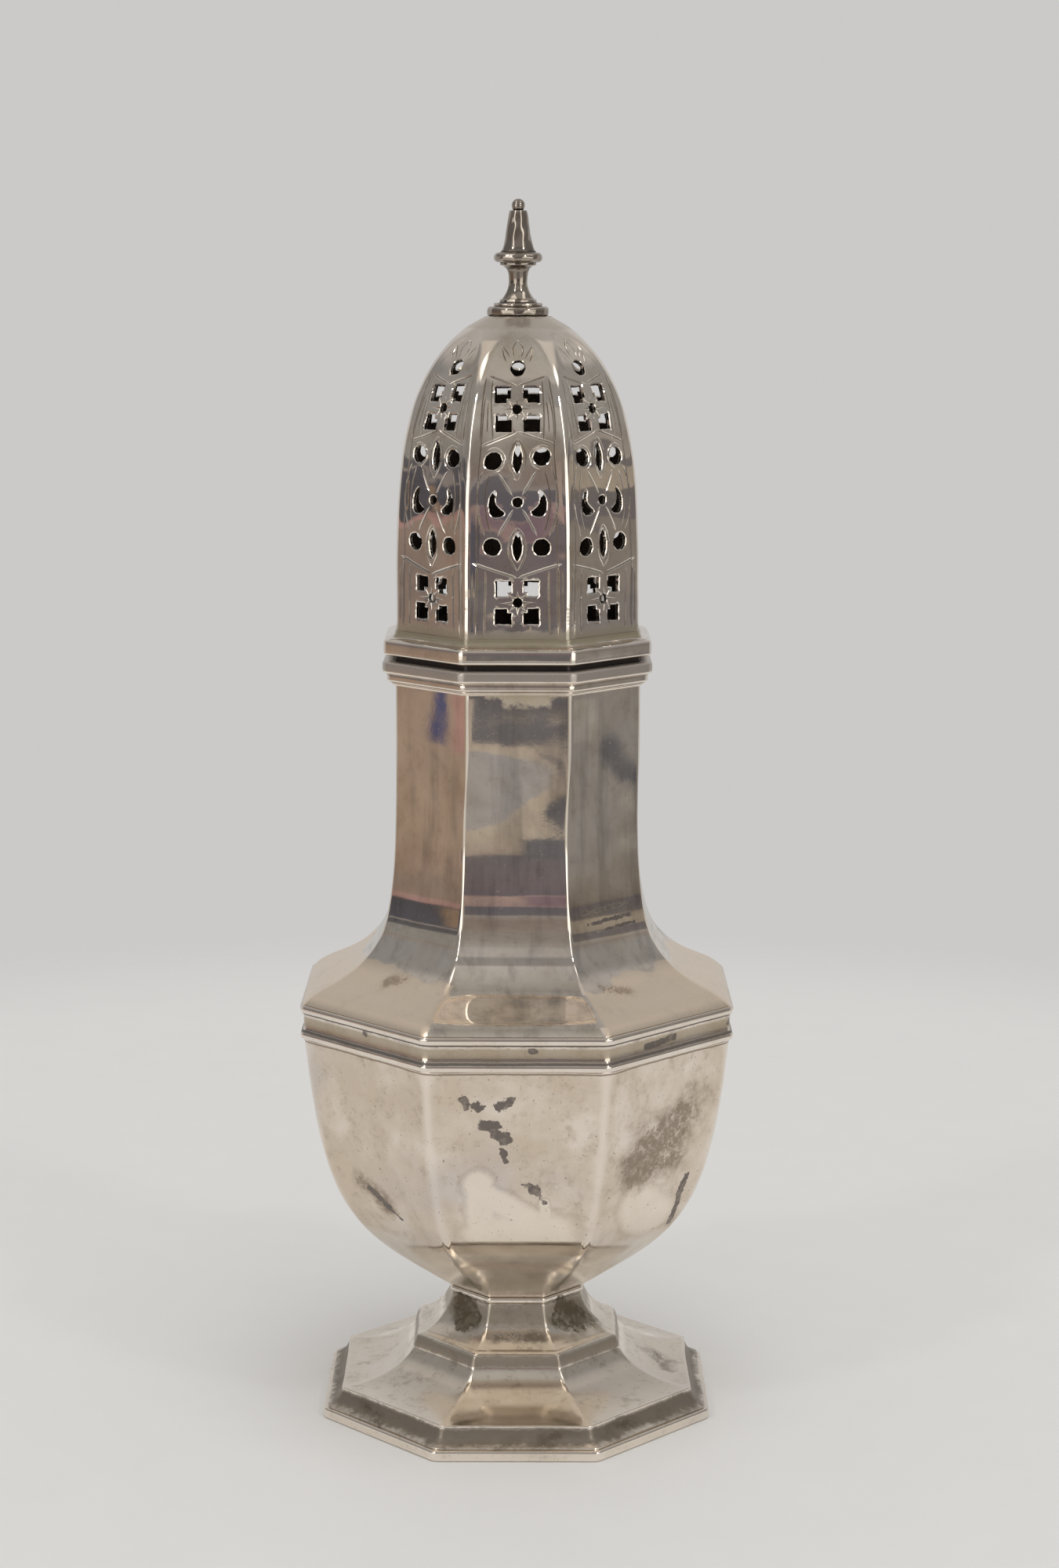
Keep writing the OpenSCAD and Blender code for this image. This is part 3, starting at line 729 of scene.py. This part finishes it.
def silver(name, blots=(), blooms=(), bare=(), bands=(), chalk=(), clean=CLEAN, patina=PATINA,
           grime_tone=GRIME, yellow=0.5, gloss=0.04, grime=0.8, pitting=0.3, dusk=0.3, mottle=0.2,
           streaks=0.0, broken=0.3, blot_tone=TARNISH, dull_below=None, lined=False):
    """Old polished silver: patina, brighter wear on ridges, grime in hollows and fine pits. Crisp dark blots,
    grainy brown blooms, bare polished patches with a tide line and chalky polish left behind lie along lines
    between two places, each with a size, and bands tint it between two heights: some are dirt, some cleaner
    metal, and some painted shade that darkens faces where the room they mirror is dark. All but the front may
    be dull below a height, and what faces inwards may be an unpolished lining."""
    material, p = finish("aged_" + name)
    finishes[name] = material
    where = p.node("TexCoord")[3]
    x, y, z = (c / MM for c in p.node("SeparateXYZ", None, where))
    hollow = p.node("Attribute", {"attribute_name": "hollow"})[2]
    ridge = p.node("Attribute", {"attribute_name": "ridge"})[2]
    broad = p.noise(where, 70, 3)
    patch = p.noise(where, 260, 4, 0.6)
    edge = p.noise(where, 900, 4, 0.65)
    ragged = p.vector("SUBTRACT", p.node("TexNoise", None, where, None, 850, 3.0, 0.6)[1], (0.5, 0.5, 0.5))[0]
    bent = p.vector("MULTIPLY_ADD", ragged, (0.0019,) * 3, where)[0]
    wavy = p.vector("MULTIPLY_ADD", ragged, (0.0008,) * 3, where)[0]
    grain, cell = p.node("TexVoronoi", {"feature": "F1"}, bent, None, 2300)[:2]
    chance = p.node("SeparateColor", None, cell)[0]
    worn = (ridge * 0.9 - hollow * 0.6).rise(0.15, 0.9)
    aged = ((broad - 0.5) * 2.2 + (patch - 0.5) * 1.2 + yellow).rise(0, 1) * (1 - worn * 0.7)
    colour = p.mix(aged, clean, patina)
    colour = p.mix((p.noise(where, 48, 2) - 0.5).rise(0.02, 0.2) * dusk, colour, DUSK)
    mottled = ((edge - 0.5) * 0.7 + (patch - 0.5) * 0.6).rise(0.0, 0.25) * mottle
    colour = p.mix(mottled * (1 - worn), colour, GRIME)
    drawn = p.noise(p.vector("MULTIPLY", where, (1, 1, 0.13))[0], 380, 3)
    colour = p.mix((drawn - 0.5).rise(-0.05, 0.25) * streaks, colour, DRAWN)
    rough = (gloss + aged * 0.03 + (patch - 0.5) * 0.03) * (1 - worn * 0.6)
    dirt = (hollow + (patch - 0.5) * 1.1 + (edge - 0.5) * 0.5).rise(0.25, 0.9) * grime
    field = greatest(1.1 - p.away(where, a, b) / size for a, b, size in bare)
    if field:
        field = field + (broad - 0.5) * 0.9 + (patch - 0.5) * 0.9 + (edge - 0.5) * 0.35
        colour = p.mix(field.rise(0.1, 0.5) * 0.75, colour, BARE)
        dirt = dirt.most((1 - abs(field - 0.05) / 0.2).most(0) * 0.13)
    if dull_below:
        aside = (abs(x) * (1 / HALF_TAN) + y + (patch - 0.5) * 7).rise(-1.2, 0.6)
        dull = aside * (z + (patch - 0.5) * 1.5 + (broad - 0.5) * 9).rise(dull_below + 0.4, dull_below)
        colour = p.mix(dull * (0.95 - (patch - 0.5).rise(0, 0.3) * 0.4), colour, DULL)
        rough = rough + dull * 0.22
    if lined:
        outwards = p.vector("MULTIPLY", where, (1, 1, 0))[0]
        facing = p.vector("DOT_PRODUCT", p.node("TexCoord")[1], outwards)[1] / MM
        inside = facing.rise(-1, -3)
        colour = p.mix(inside * (0.9 - (patch - 0.5).rise(0, 0.3) * 0.3), colour, LINING)
        rough = rough + inside * 0.4
    pits = (chance * 0.62 - 0.34 - grain).rise(0.0, 0.08) * pitting
    bloom = greatest((1.2 - p.away(where, a, b) / size + (patch - 0.5) * 1.3).rise(0.0, 1.0)
                     for a, b, size in blooms)
    if bloom:
        grains = bloom * 0.95 + chance * 0.35 - 0.42 - grain + (edge - 0.5)
        pits = pits.most(grains.rise(0.0, 0.3) * 0.85)
        dirt = dirt.most(bloom * ((edge - 0.5) * 1.5 + (patch - 0.5)).rise(-0.55, 0.25) * 0.85)
    dark = dirt.most(pits)
    colour = p.mix(dark, colour, grime_tone)
    # bands tint the colour between heights: dirt, cleaner metal, and painted shade where a face would mirror
    # a dark room
    for low, high, soft, tone, amount in bands:
        level = z + (edge - 0.5) * soft + (patch - 0.5) * soft
        fade = soft / 3
        band = level.rise(low - fade, low + fade) * level.rise(high + fade, high - fade) * amount
        dark = dark.most(band)
        colour = p.mix(band, colour, tone)
    blot = greatest((1.0 - p.away(bent if size > 0.6 else wavy, a, b) / size).rise(0.0, 0.2)
                    for a, b, size in blots)
    if blot:
        blot = blot * (0.96 - ((edge - 0.5) + (patch - 0.5) * 0.5).rise(-0.05, 0.2) * broken)
        dark = dark.most(blot)
        colour = p.mix(blot, colour, blot_tone)
    metal = 1 - dark * 0.45
    left = greatest((1.0 - p.away(bent, a, b) / size + (edge - 0.5) * 1.2).rise(0.05, 0.75)
                    for a, b, size in chalk)
    if left:
        dark = dark.most(left)
        colour = p.mix(left * 0.7, colour, CHALK)
        metal = metal * (1 - left * 0.5)
    rough = (rough + dark * 0.3).most(0.02)
    bump = p.node("Bump", None, Strength=0.05, Distance=0.0002, Height=patch * 0.3 - dark * 0.6)[0]
    p.output(p.node("BsdfPrincipled", None, Base_Color=colour, Roughness=rough, Metallic=metal,
                    Normal=bump)[0])


def dark_inside(name):
    """Unpolished, blackened silver inside the cover."""
    material, p = finish(name)
    where = p.node("TexCoord")[3]
    patch, speck = p.noise(where, 260, 4, 0.6), p.noise(where, 1400, 3)
    colour = p.mix(patch.rise(0.3, 0.7), (0.05, 0.038, 0.032), (0.11, 0.085, 0.07))
    bump = p.node("Bump", None, Strength=0.2, Distance=0.0003, Height=speck)[0]
    rough = 0.45 + speck * 0.2
    p.output(p.node("BsdfPrincipled", None, Base_Color=colour, Roughness=rough, Metallic=0.85,
                    Normal=bump)[0])
    return material


# marks of age as (from, to, size) in mm
bowl_blots = [((-7.4, -30.4, 54.1), (-6.9, -30.4, 53.0), 0.8),
              ((-6.0, -30.3, 53.1), (-4.9, -30.3, 52.9), 0.8),
              ((-2.6, -30.2, 53.0), (-0.6, -30.3, 54.0), 0.8),
              ((-4.4, -29.9, 50.2), (-3.3, -29.8, 49.8), 1.0),
              ((-2.7, -29.9, 50.4), (-2.3, -29.9, 50.1), 0.55),
              ((-2.7, -29.7, 48.6), (-1.4, -29.6, 48.2), 1.0),
              ((-1.9, -29.3, 46.4), (-1.8, -29.2, 45.8), 0.65),
              ((-1.5, -29.0, 45.0), (-1.4, -29.0, 44.8), 0.5),
              ((1.3, -28.2, 41.0), (2.5, -28.0, 40.4), 0.65), ((2.5, -28.0, 40.4), (3.4, -27.7, 39.2), 0.7),
              ((3.8, -27.5, 38.5), (4.0, -27.4, 38.2), 0.5),
              ((24.8, -13.9, 37.9), (23.9, -13.7, 35.6), 0.75),
              ((23.9, -13.7, 35.6), (22.4, -11.1, 30.0), 0.55),
              ((-21.4, -16.8, 37.2), (-20.6, -17.4, 36.4), 0.62),
              ((-20.6, -17.4, 36.4), (-18.5, -18.4, 34.7), 0.72),
              ((-18.5, -18.4, 34.7), (-16.6, -19.4, 33.1), 0.35)]
bowl_blooms = [((17.2, -22.8, 42.6), (22.2, -18.6, 44.8), 4.6),
               ((16.9, -23.2, 41.0), (23.0, -17.8, 42.0), 3.8),
               ((18.6, -22.0, 45.0), (24.6, -17.6, 48.2), 4.6),
               ((-22.4, -16.2, 37.6), (-18.6, -18.3, 34.6), 2.4)]
bowl_bare = [((-5.4, -28.4, 41.0), (-4.8, -25.4, 33.0), 2.6),
             ((-4.4, -27.8, 39.4), (2.6, -26.2, 35.0), 2.4), ((-3.4, -25.2, 32.4), (4.6, -25.2, 32.4), 5.2),
             ((4.0, -27.4, 38.0), (4.2, -26.4, 35.6), 1.0), ((16.6, -19.4, 36.4), (20.5, -15.4, 32.0), 4.4)]
foot_blooms = [((-8.3, -6.4, 15.4), (-7.0, -8.8, 12.9), 2.4), ((8.3, -6.6, 15.2), (10.8, -5.2, 12.8), 2.6),
               ((-3.0, -11.8, 12.5), (4.0, -11.8, 12.5), 1.1), ((21.8, 1.0, 5.8), (22.2, -3.0, 5.5), 2.4),
               ((-27.2, -3.0, 3.0), (-20.0, -19.0, 3.0), 1.2), ((4.0, -27.0, 3.0), (19.0, -20.0, 3.0), 1.2)]
foot_blots = [((-8.9, -6.0, 16.0), (-7.9, -7.9, 13.4), 1.7), ((-7.9, -6.9, 16.2), (-6.2, -8.8, 14.4), 1.5),
              ((6.7, -7.7, 16.2), (9.4, -6.2, 14.2), 1.7), ((6.2, -9.0, 14.4), (9.0, -7.6, 12.8), 1.6)]
waist_blots = [((18.2, -25.4, 60.5), (22.4, -21.2, 60.9), 0.55),
               ((30.2, -12.9, 60.9), (30.6, -12.6, 60.9), 0.6),
               ((2.0, -30.8, 61.4), (2.5, -30.8, 61.3), 0.5),
               ((-21.5, -22.3, 61.6), (-21.2, -22.3, 61.4), 0.45)]
neck_blooms = [((-18.4, -15.8, 67.4), (-16.2, -16.7, 68.0), 1.5),
               ((12.3, -21.1, 67.8), (16.0, -19.2, 67.0), 1.5)]
neck_blots = [((9.4, -16.4, 77.6), (17.3, -9.2, 78.2), 0.32),
              ((10.0, -16.2, 76.0), (17.4, -9.4, 76.4), 0.30),
              ((9.8, -16.6, 74.6), (17.0, -10.0, 75.2), 0.28)]
neck_chalk = [((-4.2, -17.5, 109.5), (5.0, -17.5, 109.4), 1.0),
              ((-1.2, -17.5, 108.8), (4.0, -17.5, 108.5), 1.6)]
# bands as (low, high, how ragged, tone, amount): dirt, cleaner metal and painted shade
# painted shade: the foot's cove, the face of its step and the stem are darkened to stand in for the dark room
# they mirror
foot_shade_bands = [(1.9, 4.0, 1.0, (0.13, 0.10, 0.07), 0.85), (9.2, 10.8, 0.8, (0.20, 0.155, 0.11), 0.75),
              (13.8, 17.0, 2.0, (0.24, 0.20, 0.145), 0.7)]
bowl_bands = [(57.75, 58.0, 0.2, GRIME, 0.8), (0, 29.0, 2.0, (0.97, 0.92, 0.83), 0.32)]
# painted shade: the neck's top above the mouth band, in the gap under the cover, is painted nearly black
neck_gap_shade = [(112.4, 120, 0.2, GAP_SHADE, 0.97)]
# olive dirt at the dome's foot; painted shade on the mouth band and in the gap above it; dirt with painted
# shade in the waist's channel; thin dark lines along the waist reeds
moulding_dirt_and_shade = [(116.3, 118, 0.3, OLIVE, 0.85), (111.5, 113.5, 0.2, (0.36, 0.32, 0.29), 0.75),
                  (60.2, 61.6, 0.6, (0.38, 0.30, 0.19), 0.7), (59.3, 59.65, 0.15, TARNISH, 0.95),
                  (61.95, 62.25, 0.15, TARNISH, 0.9)]
dome_bands = [(100, 118.2, 1.6, OLIVE, 0.7), (159.8, 164, 0.8, (0.42, 0.36, 0.29), 0.6)]
silver("silver_foot", foot_blots, foot_blooms, bands=foot_shade_bands, patina=(0.83, 0.75, 0.64),
       grime_tone=(0.15, 0.115, 0.075), yellow=0.75, gloss=0.13, grime=0.45, pitting=0.5, mottle=0.42,
       broken=0.9, blot_tone=(0.12, 0.095, 0.055))
silver("silver_bowl", bowl_blots, bowl_blooms, bowl_bare, bowl_bands, patina=(0.72, 0.61, 0.49), yellow=0.75,
       gloss=0.06, pitting=0.8, dusk=0.5, mottle=0.32, lined=True)
silver("silver_neck", neck_blots, neck_blooms, bands=neck_gap_shade, chalk=neck_chalk, yellow=0.35, gloss=0.03,
       streaks=0.5, dull_below=68.2, lined=True)
silver("silver_moulding", waist_blots, bands=moulding_dirt_and_shade, grime_tone=(0.12, 0.095, 0.07), yellow=0.4,
       grime=0.5)
silver("silver_sleeve", yellow=0.8, gloss=0.14)
silver("silver_dome", bands=dome_bands, grime_tone=(0.12, 0.098, 0.072), yellow=0.35, gloss=0.03, grime=0.75,
       pitting=0.25, dusk=0.6)
silver("silver_finial", clean=(0.66, 0.58, 0.50), patina=(0.33, 0.285, 0.24), grime_tone=(0.05, 0.04, 0.033),
       yellow=0.9, gloss=0.06, grime=1.0, pitting=0.5)
coats = {"foot_rim": "silver_foot", "foot": "silver_foot", "foot_collar": "silver_foot",
         "bowl": "silver_bowl", "waist_moulding": "silver_moulding", "neck": "silver_neck",
         "mouth_moulding": "silver_moulding", "cover_sleeve": "silver_sleeve",
         "cover_moulding": "silver_moulding", "dome": "silver_dome", "finial_collar": "silver_finial",
         "finial": "silver_finial"}
for node, piece in pieces.items():
    piece.data.materials.append(finishes[coats[node]])
pieces["dome"].data.materials.append(dark_inside("blackened_inside"))


# Table, room and light, in metres

TABLE_REACH, TABLE_STEPS = 0.36, 96
ROOM_REACH, ROOM_HEIGHT = 3.0, 0.1
AIM_HEIGHT = 0.09


def table_finish():
    """A pale board that fades out into the pale room."""
    material, p = finish("pale_table")
    where = p.node("TexCoord")[3]
    colour = p.mix(p.noise(where, 90, 3), (0.79, 0.785, 0.775), (0.82, 0.815, 0.80))
    board = p.node("BsdfPrincipled", None, Base_Color=colour, Roughness=0.65)[0]
    reach = p.vector("LENGTH", where)[1]
    p.output(p.node("MixShader", None, reach.rise(0.23, 0.33), board, p.node("BsdfTransparent")[0])[0])
    return material


def add_stage(name, points, faces, material):
    """A mesh that belongs to the scene and not to the caster."""
    mesh = bpy.data.meshes.new(name)
    mesh.from_pydata(points, [], faces)
    mesh.materials.append(material)
    obj = bpy.data.objects.new(name, mesh)
    bpy.context.scene.collection.objects.link(obj)
    return obj


# tones that polished silver mirrors from the room by elevation in degrees, near the horizon and above it
NEAR, WIDE = (-17, 13), (8, 90)
FRONT = [(-17, (0.36, 0.35, 0.34)), (-10.2, (0.35, 0.34, 0.34)), (-10.1, (0.45, 0.40, 0.34)),
         (-9.25, (0.42, 0.37, 0.31)), (-7.3, (0.36, 0.31, 0.27)), (-7.1, (0.15, 0.14, 0.15)),
         (-6.6, (0.16, 0.15, 0.16)), (-3.6, (0.17, 0.145, 0.155)), (-1.2, (0.14, 0.13, 0.15)),
         (-0.9, (0.36, 0.27, 0.25)), (2.6, (0.30, 0.23, 0.22)), (2.9, (0.13, 0.125, 0.15)),
         (5.6, (0.14, 0.135, 0.15)), (6, (0.28, 0.26, 0.25)), (8, (0.24, 0.20, 0.18)),
         (13, (0.26, 0.23, 0.21))]
LEFT = [(-17, (0.34, 0.27, 0.22)), (-9.2, (0.36, 0.28, 0.22)), (-7.8, (0.33, 0.25, 0.20)),
        (-5, (0.26, 0.21, 0.18)), (-2.4, (0.27, 0.21, 0.18)), (-2.1, (0.36, 0.24, 0.22)),
        (-1.2, (0.36, 0.23, 0.22)), (-0.9, (0.08, 0.08, 0.09)), (4.2, (0.09, 0.09, 0.11)),
        (4.5, (0.32, 0.29, 0.27)), (5, (0.10, 0.10, 0.11)), (6.4, (0.11, 0.11, 0.12)),
        (6.8, (0.26, 0.26, 0.25)), (13, (0.27, 0.27, 0.26))]
RIGHT = [(-17, (0.27, 0.26, 0.25)), (-8, (0.25, 0.24, 0.23)), (-5, (0.24, 0.22, 0.20)),
         (-1.5, (0.21, 0.19, 0.17)), (-1.2, (0.14, 0.13, 0.14)), (2.5, (0.15, 0.14, 0.14)),
         (2.8, (0.34, 0.30, 0.25)), (6.4, (0.30, 0.27, 0.23)), (6.8, (0.15, 0.14, 0.15)),
         (9.5, (0.17, 0.16, 0.16)), (10, (0.32, 0.30, 0.27)), (13, (0.28, 0.27, 0.26))]
SLANT = [(-17, (0.6, 0.58, 0.55)), (-8, (0.66, 0.64, 0.60)), (-7, (1.5, 1.47, 1.4)), (8, (1.5, 1.47, 1.4)),
         (13, (0.9, 0.88, 0.84))]
BACK = [(-17, (0.50, 0.49, 0.47)), (0, (0.57, 0.56, 0.55)), (13, (0.56, 0.55, 0.54))]
ABOVE = [(8, (0.26, 0.23, 0.21)), (16, (0.27, 0.25, 0.23)), (24, (0.40, 0.39, 0.38)),
         (34, (0.42, 0.41, 0.40)), (38, (0.28, 0.28, 0.28)), (50, (0.30, 0.295, 0.29)),
         (54, (0.46, 0.45, 0.44)), (70, (0.42, 0.41, 0.39)), (90, (0.30, 0.29, 0.27))]
ABOVE_BACK = [(8, (0.56, 0.55, 0.54)), (25, (0.55, 0.54, 0.53)), (45, (0.42, 0.41, 0.40)),
              (57, (0.40, 0.39, 0.38)), (90, (0.33, 0.32, 0.30))]
# things in the room, each between two azimuths and two elevations, with a soft edge, all in degrees
THINGS = [((37, 47), (11, 36), 4, (2.6, 2.55, 2.45)), ((-47, -37), (11, 36), 4, (2.6, 2.55, 2.45)),
          ((-1.3, 9), (-9.0, -6.6), 0.1, (0.14, 0.137, 0.15)),
          ((2.6, 3.7), (-9.8, -9.5), 0.12, (0.09, 0.09, 0.11)),
          ((-1.4, 4), (-0.8, 2.4), 0.3, (0.22, 0.16, 0.19)),
          ((-89.9, -89.2), (-9.0, -8.1), 0.15, (0.07, 0.08, 0.18)),
          ((-88.7, -86.5), (-9.2, -8.0), 0.15, (0.40, 0.25, 0.22)),
          ((-90.4, -88.9), (-0.8, 4.0), 0.15, (0.26, 0.19, 0.14)),
          ((92.6, 93.8), (-11.5, -8.9), 0.4, (0.12, 0.12, 0.13)),
          ((90.2, 92.0), (-9.2, -8), 0.3, (0.33, 0.32, 0.30)),
          ((-130, -62), (15, 40), 3, (0.27, 0.27, 0.27)), ((62, 130), (15, 40), 3, (0.28, 0.28, 0.275)),
          ((-130, -62), (47, 80), 4, (0.58, 0.54, 0.50)), ((62, 130), (47, 80), 4, (0.56, 0.53, 0.50)),
          ((-88, -40), (56, 73), 4, (1.6, 1.57, 1.5)), ((58, 88), (46, 57), 3, (1.6, 1.57, 1.5)),
          ((4.8, 14), (-6, 1), 0.8, (0.10, 0.10, 0.13)), ((-14, -6), (2, 10), 0.8, (0.36, 0.30, 0.27))]


def room_finish():
    """The room's tones by direction: bright to the slant sides, darker in front and beside, pale behind."""
    material, p = finish("room_tones")
    way = p.vector("NORMALIZE", p.node("TexCoord")[3])[0]
    x, y, z = p.node("SeparateXYZ", None, way)
    waver = (p.noise(way, 60, 2) - 0.5) * 0.25 + (p.noise(way, 14, 2) - 0.5) * 0.5
    up = z.math("ARCSINE") * math.degrees(1) + waver
    about = x.math("ARCTAN2", 0 - y) * math.degrees(1) + waver * 1.5

    def tone(stops, span):
        low, wide = span[0], span[1] - span[0]
        stops = [((e - low) / wide, c) for e, c in stops]
        return p.node("ValToRGB", {"stops": stops}, (up - low) / wide)[0]

    colour = p.mix(abs(about).rise(20, 27), tone(FRONT, NEAR), tone(SLANT, NEAR))
    colour = p.mix(about.rise(-60, -70), colour, tone(LEFT, NEAR))
    colour = p.mix(about.rise(60, 70), colour, tone(RIGHT, NEAR))
    colour = p.mix(up.rise(10, 13), colour, tone(ABOVE, WIDE))
    back = p.mix(up.rise(10, 13), tone(BACK, NEAR), tone(ABOVE_BACK, WIDE))
    colour = p.mix(abs(about).rise(100, 115), colour, back)
    for (a, b), (low, high), soft, own in THINGS:
        here = about.rise(a - soft, a + soft) * about.rise(b + soft, b - soft)
        here = here * up.rise(low - soft, low + soft) * up.rise(high + soft, high - soft)
        colour = p.mix(here, colour, own)
    streak = p.noise(p.vector("MULTIPLY", way, (1, 1, 0.15))[0], 170, 2)
    colour = p.mix((streak - 0.5).rise(0.0, 0.25) * up.rise(28, 14) * 0.35, colour, (0.12, 0.12, 0.13))
    p.output(p.node("Emission", None, Color=colour, Strength=1.0)[0])
    return material


def add_room():
    """A wide shell round the scene that only polished surfaces see."""
    rows, columns = 24, 48
    rise = np.linspace(-math.pi / 2, math.pi / 2, rows + 1)
    around = np.arange(columns) * 2 * math.pi / columns
    points = [(ROOM_REACH * math.cos(e) * math.cos(a), ROOM_REACH * math.cos(e) * math.sin(a),
               ROOM_REACH * math.sin(e)) for e in rise for a in around]
    faces = []
    for i in range(rows):
        for j in range(columns):
            low, high, on = i * columns, (i + 1) * columns, (j + 1) % columns
            faces.append((low + j, low + on, high + on, high + j))
    room = add_stage("room", points, faces, room_finish())
    room.location.z = ROOM_HEIGHT
    room.visible_camera = room.visible_diffuse = room.visible_shadow = False


def lamp(name, azimuth, elevation, distance, size, power, mirrored=True):
    """A round lamp that shines at the caster's middle from a direction in degrees."""
    light = bpy.data.lights.new(name, "AREA")
    light.shape, light.size, light.energy = "DISK", size, power
    obj = bpy.data.objects.new(name, light)
    bpy.context.scene.collection.objects.link(obj)
    a, e = math.radians(azimuth), math.radians(elevation)
    way = Vector((math.sin(a) * math.cos(e), -math.cos(a) * math.cos(e), math.sin(e)))
    place = Matrix.Translation(way * distance + Vector((0, 0, AIM_HEIGHT)))
    obj.matrix_world = place @ way.to_track_quat("Z", "Y").to_matrix().to_4x4()
    obj.visible_glossy = mirrored


rim = np.linspace(0, 2 * math.pi, TABLE_STEPS, endpoint=False)
board = [(TABLE_REACH * math.cos(a), TABLE_REACH * math.sin(a), 0) for a in rim]
add_stage("table", board, [tuple(range(TABLE_STEPS))], table_finish())
add_room()
lamp("left_lamp", -45, 40, 1.6, 0.16, 1.4)
lamp("right_lamp", 45, 40, 1.6, 0.16, 1.4)
lamp("back_lamp_left", -176, 62, 1.6, 0.05, 0.06)
lamp("back_lamp_right", 179.4, 62, 1.6, 0.05, 0.06)
lamp("table_lamp", 20, 75, 1.8, 1.2, 7.5, mirrored=False)

world = bpy.data.worlds.new("pale_room")
world.use_nodes = True
paint = Paint(world.node_tree)
paint.node("OutputWorld", None, paint.node("Background", None, (0.60, 0.59, 0.58, 1), 1.0)[0])
bpy.context.scene.world = world
bpy.context.scene.view_settings.view_transform = "Standard"


# Camera: its place in mm, and how far it looks down and leans in degrees

EYE_PLACE, LOOK_DOWN, LEAN = (1.77, -440.5, 172.0), 10.10, 0.12
camera = bpy.data.cameras.new("photo_camera")
camera.sensor_width, camera.lens = 36, 69.894
camera.clip_start = 0.01
eye = bpy.data.objects.new("photo_camera", camera)
bpy.context.scene.collection.objects.link(eye)
tilt = Matrix.Rotation(math.radians(90 - LOOK_DOWN), 4, "X")
lean = Matrix.Rotation(math.radians(LEAN), 4, "Z")
eye.matrix_world = Matrix.Translation(Vector(EYE_PLACE) * MM) @ tilt @ lean
bpy.context.scene.camera = eye
